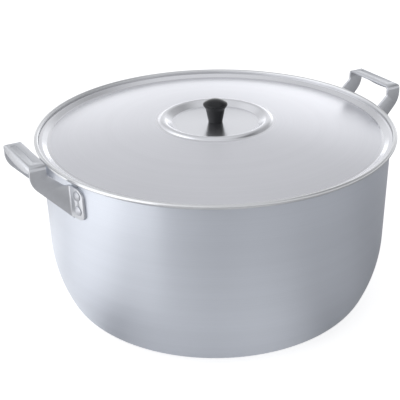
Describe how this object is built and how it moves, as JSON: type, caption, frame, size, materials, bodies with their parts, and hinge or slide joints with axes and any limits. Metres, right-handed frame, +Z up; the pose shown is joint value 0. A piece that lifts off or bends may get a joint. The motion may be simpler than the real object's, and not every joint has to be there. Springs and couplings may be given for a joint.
{
  "type": "stock pot",
  "caption": "Large aluminium stock pot with a rolled rim, riveted strap handles at its sides and a loose domed lid with a moulded knob.",
  "frame": {"origin": "centre of the underside of the pot's base", "axes": "+Z up, the handles lie along X, and the front of the pot is towards -Y"},
  "size_m": [0.5386, 0.464, 0.2721],
  "materials": {
    "shell_metal": "satin anodised, lighter and more polished on the rolled rim",
    "lid_metal": "satin anodised",
    "strap_metal": "matt anodised, slightly darker than the shell",
    "rivet_metal": "smooth, domed",
    "knob_plastic": "glossy moulded phenolic resin",
    "insert_brass": "machined",
    "fixing_steel": "plain"
  },
  "bodies": {
    "pot": {"pot_shell": "shell_metal", "left_handle": "strap_metal", "right_handle": "strap_metal", "right_front_upper_rivet": "rivet_metal", "right_front_lower_rivet": "rivet_metal", "right_back_upper_rivet": "rivet_metal", "right_back_lower_rivet": "rivet_metal", "left_front_upper_rivet": "rivet_metal", "left_front_lower_rivet": "rivet_metal", "left_back_upper_rivet": "rivet_metal", "left_back_lower_rivet": "rivet_metal"},
    "lid": {"lid_plate": "lid_metal", "lid_knob": "knob_plastic", "knob_insert": "insert_brass", "knob_screw": "fixing_steel", "flat_washer": "fixing_steel", "spring_washer": "fixing_steel"}
  },
  "joints": [
    {"name": "lid_lift", "type": "slide", "parent": "pot", "child": "lid", "axis": [0, 0, 1], "range_m": [0, 0.25]}
  ]
}
